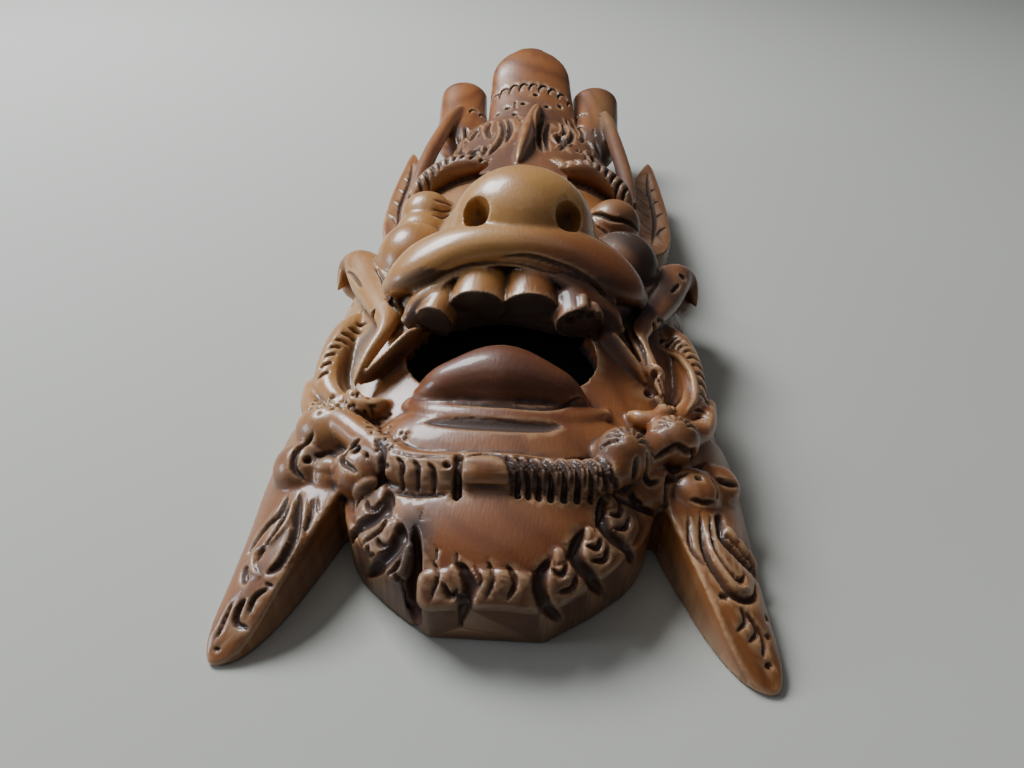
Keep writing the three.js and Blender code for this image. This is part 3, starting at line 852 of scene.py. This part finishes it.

# %% [markdown]
# ## Brushed stain and painted shade
# Beside the stain that stays in the cuts, some places got a second coat with a brush: the inside
# of the mouth's corners, the cheek channels and the edge of the forehead. On the fangs in the
# mouth's corners the dark paint is stain and painted shade together. The right cheek, the right of
# the upper lip and the right edge of the forehead turn from the light and are painted dark as
# painted shade. A brush stroke is a stroke like the others, but it only paints.

# %% Where the stain was brushed on thick, and where shade is painted on
stain = wood_skin.stain
# The fangs' faces turn down from the light: their dark paint is stain and painted shade together.
stain([(-45, 124, 50), (-51, 117, 48), (-57, 111, 45), (-64, 106, 42)], 5, 1, pointed=True)
stain([(41, 132, 50), (47, 126, 47), (54, 119, 44)], 3, 0.8)
for side, strength in ((-1, 0.8), (1, 0.5)):
    stain(
        [(side * 63, 146, 43), (side * 70, 135, 39), (side * 73, 122, 38), (side * 71, 108, 38)], 5.5,
        strength,
    )
# Painted shade on the right cheek, the right of the upper lip and the right teeth, which turn from the
# light.
stain([(60, 172, 52), (56, 156, 53), (52, 142, 55)], 9, 0.95)
stain([(26, 148, 77), (44, 149, 68), (55, 158, 58)], 11, 0.6)
stain([(44, 205, 58), (60, 196, 56), (68, 178, 48)], 14, 0.7)
stain([(20, 140, 72), (38, 132, 64)], 8, 0.5)
stain([(-75, 71), (-63, 70)], 5, 0.7)
stain([(-31, 36, 33), (-31, 27, 25), (-33, 19, 10)], 10, 1)
stain([(36, 66), (45, 72), (60, 80), (74, 86)], 9, 0.5)
stain([(-50, 400), (-58, 330), (-60, 285)], 7, 0.7)
# Painted shade along the right edge of the forehead.
stain([(50, 400), (56, 330), (58, 280), (36, 276)], 14, 0.6)
print(f"stained: {(wood_skin.stained > 0.1).sum()} points")

# %% Press the strokes into the skin
cut_depth = wood_skin.apply()
print(f"deepest cut: {cut_depth.max():.1f} mm")

# %% [markdown]
# ## Stain, wear and painted shade
# After carving, a dark stain was wiped over the wood. It stayed in the cuts and hollows and was
# rubbed off the high places, then varnish went over everything. The skin's own shape tells where
# that is: each point is compared with the average of its neighbours, close by and further off.
# The same dark paint also carries painted shade: under the teeth, on the beard's rim and on the
# right side of the face, which turns from the light.

# %% Hollow and proud places of the skin
def edge_ends(piece):
    ends = np.empty(len(piece.data.edges) * 2, np.int32)
    piece.data.edges.foreach_get("vertices", ends)
    return ends.reshape(-1, 2)


def neighbour_mean(values, ends, rounds):
    """Averages values over the mesh's edges, again and again, so that they spread."""
    count = np.bincount(ends.ravel(), minlength=len(values))[:, None]
    for _ in range(rounds):
        total = np.empty_like(values)
        for axis in range(values.shape[1]):
            total[:, axis] = np.bincount(ends[:, 0], values[ends[:, 1], axis], len(values))
            total[:, axis] += np.bincount(ends[:, 1], values[ends[:, 0], axis], len(values))
        values = (values + total / np.maximum(count, 1)) / 2
    return values


ends = edge_ends(mask)
carved = vertex_places(mask)
normals = skin_normals(mask)
close = neighbour_mean(carved, ends, 6 if fine else 3)
far = neighbour_mean(close, ends, 60 if fine else 15)
sunk_close = ((close - carved) * normals).sum(1)
sunk_far = ((far - carved) * normals).sum(1)
print(f"sunk close by {sunk_close.std():.2f}, further off {sunk_far.std():.2f}")


def ramp(values, low, high):
    t = np.clip((values - low) / (high - low), 0, 1)
    return t * t * (3 - 2 * t)


def spot(x, y, radius_x, radius_y, soft=0.5):
    """1 inside an oval on the face, fading to 0 outside it."""
    reach = np.hypot((carved[:, 0] - x) / radius_x, (carved[:, 1] - y) / radius_y)
    return 1 - ramp(reach, 1 - soft, 1 + soft)


def spots(*marks):
    """The strongest of several spots, each given as its strength and then as for spot."""
    return np.maximum.reduce([strength * spot(*where) for strength, *where in marks])


# %% Where the hollow and its wall are
INNER_START, INNER_END = inner[0][0], inner[-1][0]
HOLLOW_MARGIN = 1.5                               # the paint reaches this far past the cut
inner_share = np.clip((carved[:, 1] - INNER_START) / (INNER_END - INNER_START), 0, 1)
inner_width, inner_crest = spline([(w, c) for y, w, c in inner])(inner_share).T
across_hollow = (np.abs(carved[:, 0]) / (inner_width + HOLLOW_MARGIN)) ** 2.3
up_hollow = (carved[:, 2] / (inner_crest + HOLLOW_MARGIN)) ** 2.3
inside = across_hollow + up_hollow < 1
inside &= (carved[:, 1] > INNER_START - 1) & (carved[:, 1] < INNER_END + 1)
print(f"hollow: {inside.sum()} points")

# %% Paints for the skin: dark stain and painted shade, worn edges, pale wood, red wood and the hollow
# Each ramp runs from no paint to full paint, over a depth in millimetres.
in_cuts = ramp(cut_depth, 0.1, 1.3)
in_creases = ramp(sunk_close, 0.03, 0.22)
in_hollows = 0.85 * ramp(sunk_far, 0.3, 2)
dark = np.maximum.reduce([in_cuts, in_creases, in_hollows])
dark = neighbour_mean(dark[:, None], ends, 2)[:, 0]
worn = ramp(-sunk_close, 0.04, 0.22) * (1 - ramp(cut_depth, 0.1, 0.6))
forehead = spot(2, 345, 62, 82, 0.12) * (carved[:, 2] > 40)
pale = spots(
    (1, 0, 185, 40, 40), (1, -28, 162, 42, 28), (0.9, -50, 225, 26, 35), (0.8, -76, 150, 26, 70),
    (0.5, -4, 140, 24, 12), (0.5, 60, 430, 10, 40), (0.5, 50, 238, 18, 12),
)
red = spots((1, 0, 100, 40, 26), (0.8, 30, 140, 28, 20), (0.7, 0, 20, 60, 22))
tooth_height = (carved[:, 2] > 48) * (carved[:, 2] < 78)
# Painted shade: faces of the teeth and the mouth that turn down towards the chin are painted dark.
under = ramp(-normals[:, 1], 0.5, 0.8) * spot(0, 130, 56, 26, 0.3) * tooth_height
# Painted shade: the steep and downward faces of the beard's rim are painted dark.
rim = ramp(-normals[:, 2], -0.6, -0.2) * spot(-2, 20, 66, 40, 0.2) * (carved[:, 2] < 26)
# Painted shade: the right side of the face, from the upper lip up, turns from the light and is painted
# dark.
far_side = ramp(carved[:, 0], 30, 62) * ramp(carved[:, 1], 135, 165)
# The right side's painted shade at half strength, and darker spots on the tongue, the chin band, the
# middle of the crown, the left flap and the left of the forehead.
smoky = np.maximum(0.5 * far_side, spots(
    (0.45, 0, 104, 36, 20), (0.25, 0, 62, 60, 26), (0.2, 0, 430, 30, 40), (0.3, -78, 30, 22, 50),
    (0.3, -45, 300, 30, 60),
))
forehead_stain = 0.65 * forehead * ramp(sunk_far, -1.2, 0.8)
# The stain together with the painted shade under the teeth, on the beard's rim and in the brush strokes on
# the right.
all_stain = np.maximum.reduce([dark, wood_skin.stained, forehead_stain, under, 0.65 * rim])
paints = {
    "dark": np.clip(all_stain + smoky, 0, 1),
    "worn": worn,
    "pale": pale,
    "red": red,
    "hollow": inside.astype(float),
}
print(", ".join(f"{name} {values.mean():.2f}" for name, values in paints.items()))

# %% [markdown]
# ## Fewer faces
# The even skin has far more faces than its smooth parts need. Decimate merges them where nothing
# is lost and keeps them along the cuts. The paints are then read back from the nearest old point.

# %% Decimate and carry the paints over
MOST_TRIANGLES = 190_000
old_faces = [tuple(f.vertices) for f in mask.data.polygons]
old_skin = BVHTree.FromPolygons([tuple(p) for p in carved], old_faces)
triangles = sum(len(f) - 2 for f in old_faces)
if triangles > MOST_TRIANGLES:
    fewer = mask.modifiers.new("fewer", "DECIMATE")
    fewer.ratio = MOST_TRIANGLES / triangles
    fewer.use_collapse_triangulate = True
    bake(mask)
new_places = vertex_places(mask)
nearest = np.empty(len(new_places), np.int64)
for i, new_place in enumerate(new_places):
    where, _, face, _ = old_skin.find_nearest(new_place)
    corners = old_faces[face]
    nearest[i] = min(
        corners, key=lambda c: sum((carved[c][axis] - where[axis]) ** 2 for axis in range(3)),
    )
for name, values in paints.items():
    paint = mask.data.attributes.new(name, "FLOAT", "POINT")
    paint.data.foreach_set("value", values[nearest].astype(np.float32))
print(f"{triangles} triangles became {len(mask.data.polygons)}")

# %% To real size
FIT = 0.998                                       # keeps the carving a hair inside the block


def to_real_size(piece):
    co = vertex_places(piece)
    low, high = co.min(0), co.max(0)
    co = (co - (low + high) / 2) / (high - low) * np.array([2 * HALF_WIDTH, LENGTH, DEPTH]) * FIT
    co[:, 2] += DEPTH * FIT / 2
    set_places(piece, co * MM + np.array(MIDDLE))


to_real_size(mask)
for polygon in mask.data.polygons:
    polygon.use_smooth = True
print(f"mask: {', '.join(f'{1000 * side:.1f}' for side in mask.dimensions)} mm")

# %% [markdown]
# ## Varnished wood
# The block is cut so that its growth rings run along the face. Rings are cylinders round a heart
# line behind the mask, so every rounded form shows them as nested curves, as real carving does.

# %% The wood's node tree, and short ways to add to it
wood = bpy.data.materials.new("varnished_wood")
wood.use_nodes = True
nodes, links = wood.node_tree.nodes, wood.node_tree.links
shader = nodes["Principled BSDF"]


def node(kind, **settings):
    made = nodes.new(kind)
    for name, value in settings.items():
        if name in made.inputs:
            made.inputs[name].default_value = value
        else:
            setattr(made, name, value)
    return made


def paint_node(name):
    return node("ShaderNodeAttribute", attribute_name=name).outputs["Fac"]


def mix_colour(factor, first, second, blend="MIX"):
    made = node("ShaderNodeMix", data_type="RGBA", blend_type=blend)
    for socket, value in ((made.inputs[0], factor), (made.inputs[6], first), (made.inputs[7], second)):
        if hasattr(value, "links"):
            links.new(value, socket)
        else:
            socket.default_value = value
    return made.outputs[2]


def math_node(operation, first, second=0.5, clamp=True):
    made = node("ShaderNodeMath", operation=operation, use_clamp=clamp)
    for socket, value in zip(made.inputs, (first, second)):
        if hasattr(value, "links"):
            links.new(value, socket)
        else:
            socket.default_value = value
    return made.outputs[0]


# %% Growth rings, fibres and clouds
coordinates_node = node("ShaderNodeTexCoord")
heart = node("ShaderNodeMapping")
heart.inputs["Location"].default_value = (0.03, 0, 0.05)
heart.inputs["Rotation"].default_value = (0.06, 0.1, 0.05)
heart.inputs["Scale"].default_value = (1, 0.22, 1)
links.new(coordinates_node.outputs["Object"], heart.inputs["Vector"])
rings = node("ShaderNodeTexWave", wave_type="RINGS", rings_direction="Y", wave_profile="SIN")
RING_PATTERN = {"Scale": 44, "Distortion": 2.4, "Detail": 3, "Detail Scale": 2.2, "Detail Roughness": 0.55}
for name, value in RING_PATTERN.items():
    rings.inputs[name].default_value = value
links.new(heart.outputs["Vector"], rings.inputs["Vector"])
fibre_space = node("ShaderNodeMapping")
fibre_space.inputs["Scale"].default_value = (900, 28, 900)
links.new(coordinates_node.outputs["Object"], fibre_space.inputs["Vector"])
fibre = node("ShaderNodeTexNoise")
fibre.inputs["Scale"].default_value = 1
fibre.inputs["Detail"].default_value = 3
links.new(fibre_space.outputs["Vector"], fibre.inputs["Vector"])
cloud = node("ShaderNodeTexNoise")
cloud.inputs["Scale"].default_value = 28
cloud.inputs["Detail"].default_value = 4
links.new(coordinates_node.outputs["Object"], cloud.inputs["Vector"])
print(f"patterns: {len(nodes)} nodes so far")

# %% Colours, laid over one another from the bare wood to the stain and its painted shade
LIGHT_WOOD = (0.36, 0.135, 0.04, 1)
RING_WOOD = (0.15, 0.045, 0.013, 1)
PALE_WOOD = (0.68, 0.38, 0.12, 1)
RED_WOOD = (0.14, 0.03, 0.012, 1)
# The dark colour serves both the stain and the painted shade.
STAIN = (0.022, 0.009, 0.005, 1)
WORN = (0.66, 0.42, 0.22, 1)
INSIDE = (0.02, 0.011, 0.007, 1)
ring_share = math_node("MULTIPLY", math_node("POWER", rings.outputs["Fac"], 2), 0.6)
body = mix_colour(ring_share, LIGHT_WOOD, RING_WOOD)
COATS = (
    # where, how strong, colour
    (paint_node("pale"), 0.72, PALE_WOOD),
    (paint_node("red"), 0.75, RED_WOOD),
    (cloud.outputs["Fac"], 0.5, RING_WOOD),
    (fibre.outputs["Fac"], 0.35, RING_WOOD),
    (paint_node("worn"), 0.45, WORN),
    (paint_node("dark"), 0.92, STAIN),
)
for where, strength, colour in COATS:
    body = mix_colour(math_node("MULTIPLY", where, strength), body, colour)
body = mix_colour(paint_node("hollow"), body, INSIDE)
links.new(body, shader.inputs["Base Color"])
print(f"colours: {len(COATS)} coats over the rings")

# %% Varnish: duller in the stain, in the painted shade and in the hollow
BARE_ROUGHNESS = 0.36
stain_rougher = math_node("MULTIPLY", paint_node("dark"), 0.35)
hollow_rougher = math_node("MULTIPLY", paint_node("hollow"), 0.4)
rough = math_node("ADD", stain_rougher, BARE_ROUGHNESS)
links.new(math_node("ADD", rough, hollow_rougher), shader.inputs["Roughness"])
shader.inputs["Coat Weight"].default_value = 0.3
shader.inputs["Coat Roughness"].default_value = 0.12
bump = node("ShaderNodeBump", Strength=0.25, Distance=0.0004)
links.new(fibre.outputs["Fac"], bump.inputs["Height"])
links.new(bump.outputs["Normal"], shader.inputs["Normal"])
mask.data.materials.clear()
mask.data.materials.append(wood)
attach(mask, "root")
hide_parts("mask")
print(f"varnished_wood: {len(nodes)} nodes")

# %% [markdown]
# ## The studio
# The mask lies on a plain pale floor. A large soft window light comes from behind on the left and
# leaves long highlights on the varnish, a cool doorway fills the left side, and a weak ceiling
# light keeps the hollows readable. The camera stands low at the chin and looks up the face.

# %% Floor
floor_mesh = bmesh.new()
bmesh.ops.create_grid(floor_mesh, x_segments=1, y_segments=1, size=4)
floor_data = bpy.data.meshes.new("floor")
floor_mesh.to_mesh(floor_data)
floor_mesh.free()
floor = bpy.data.objects.new("floor", floor_data)
bpy.context.scene.collection.objects.link(floor)
BELOW_MASK = 0.0005
floor.location.z = cad_box[0][2] - BELOW_MASK
paper = bpy.data.materials.new("pale_floor")
paper.use_nodes = True
floor_shader = paper.node_tree.nodes["Principled BSDF"]
floor_shader.inputs["Base Color"].default_value = (0.42, 0.42, 0.38, 1)
floor_shader.inputs["Roughness"].default_value = 0.9
floor_data.materials.append(paper)
print(f"floor at {floor.location.z * 1000:.1f} mm")

# %% Light
world = bpy.data.worlds.new("studio")
bpy.context.scene.world = world
world.use_nodes = True
world.node_tree.nodes["Background"].inputs["Color"].default_value = (0.85, 0.88, 1, 1)
world.node_tree.nodes["Background"].inputs["Strength"].default_value = 0.09


def area_light(name, place, target, size, power, colour):
    data = bpy.data.lights.new(name, "AREA")
    data.shape = "RECTANGLE"
    data.size, data.size_y = size
    data.energy = power
    data.color = colour
    lamp = bpy.data.objects.new(name, data)
    bpy.context.scene.collection.objects.link(lamp)
    lamp.location = MIDDLE + Vector(place)
    lamp.rotation_euler = (Vector(target) - Vector(place)).to_track_quat("-Z", "Y").to_euler()


LIGHTS = (
    # name, place and target from the middle of the mask, size, watts, colour
    ("window", (-0.95, 0.7, 1.3), (0, 0.02, 0.05), (0.75, 0.75), 54, (0.92, 0.96, 1)),
    ("doorway", (-1.5, -0.3, 0.4), (0, 0, 0.03), (0.5, 0.4), 9, (0.75, 0.86, 1)),
    ("ceiling", (-0.2, -0.2, 1.9), (0, 0, 0), (1.6, 1.6), 4, (1, 0.95, 0.88)),
)
for light in LIGHTS:
    area_light(*light)
print(f"lights: {len(LIGHTS)}")

# %% Camera
LENS = 24.61                                      # for a picture of 1024 by 768
CAMERA_TURN = math.radians(1.186)                 # a little to the right of the middle line
CAMERA_RISE = math.radians(38.348)
CAMERA_ROLL = math.radians(2.008)
CAMERA_AWAY = 0.31943
chin = Vector((MIDDLE.x + 0.00082, cad_box[0][1] + 0.1266, MIDDLE.z + 0.03))
back = Vector((
    math.sin(CAMERA_TURN) * math.cos(CAMERA_RISE),
    -math.cos(CAMERA_TURN) * math.cos(CAMERA_RISE),
    math.sin(CAMERA_RISE),
))
camera_data = bpy.data.cameras.new("camera")
camera_data.sensor_width = 36
camera_data.lens = LENS
camera_data.clip_start = 0.01
camera = bpy.data.objects.new("camera", camera_data)
bpy.context.scene.collection.objects.link(camera)
stand = Matrix.Translation(chin + back * CAMERA_AWAY)
aim = (-back).to_track_quat("-Z", "Y").to_matrix().to_4x4()
camera.matrix_world = stand @ aim @ Matrix.Rotation(CAMERA_ROLL, 4, "Z")
bpy.context.scene.camera = camera
print(f"camera {CAMERA_AWAY * 1000:.0f} mm from the chin")
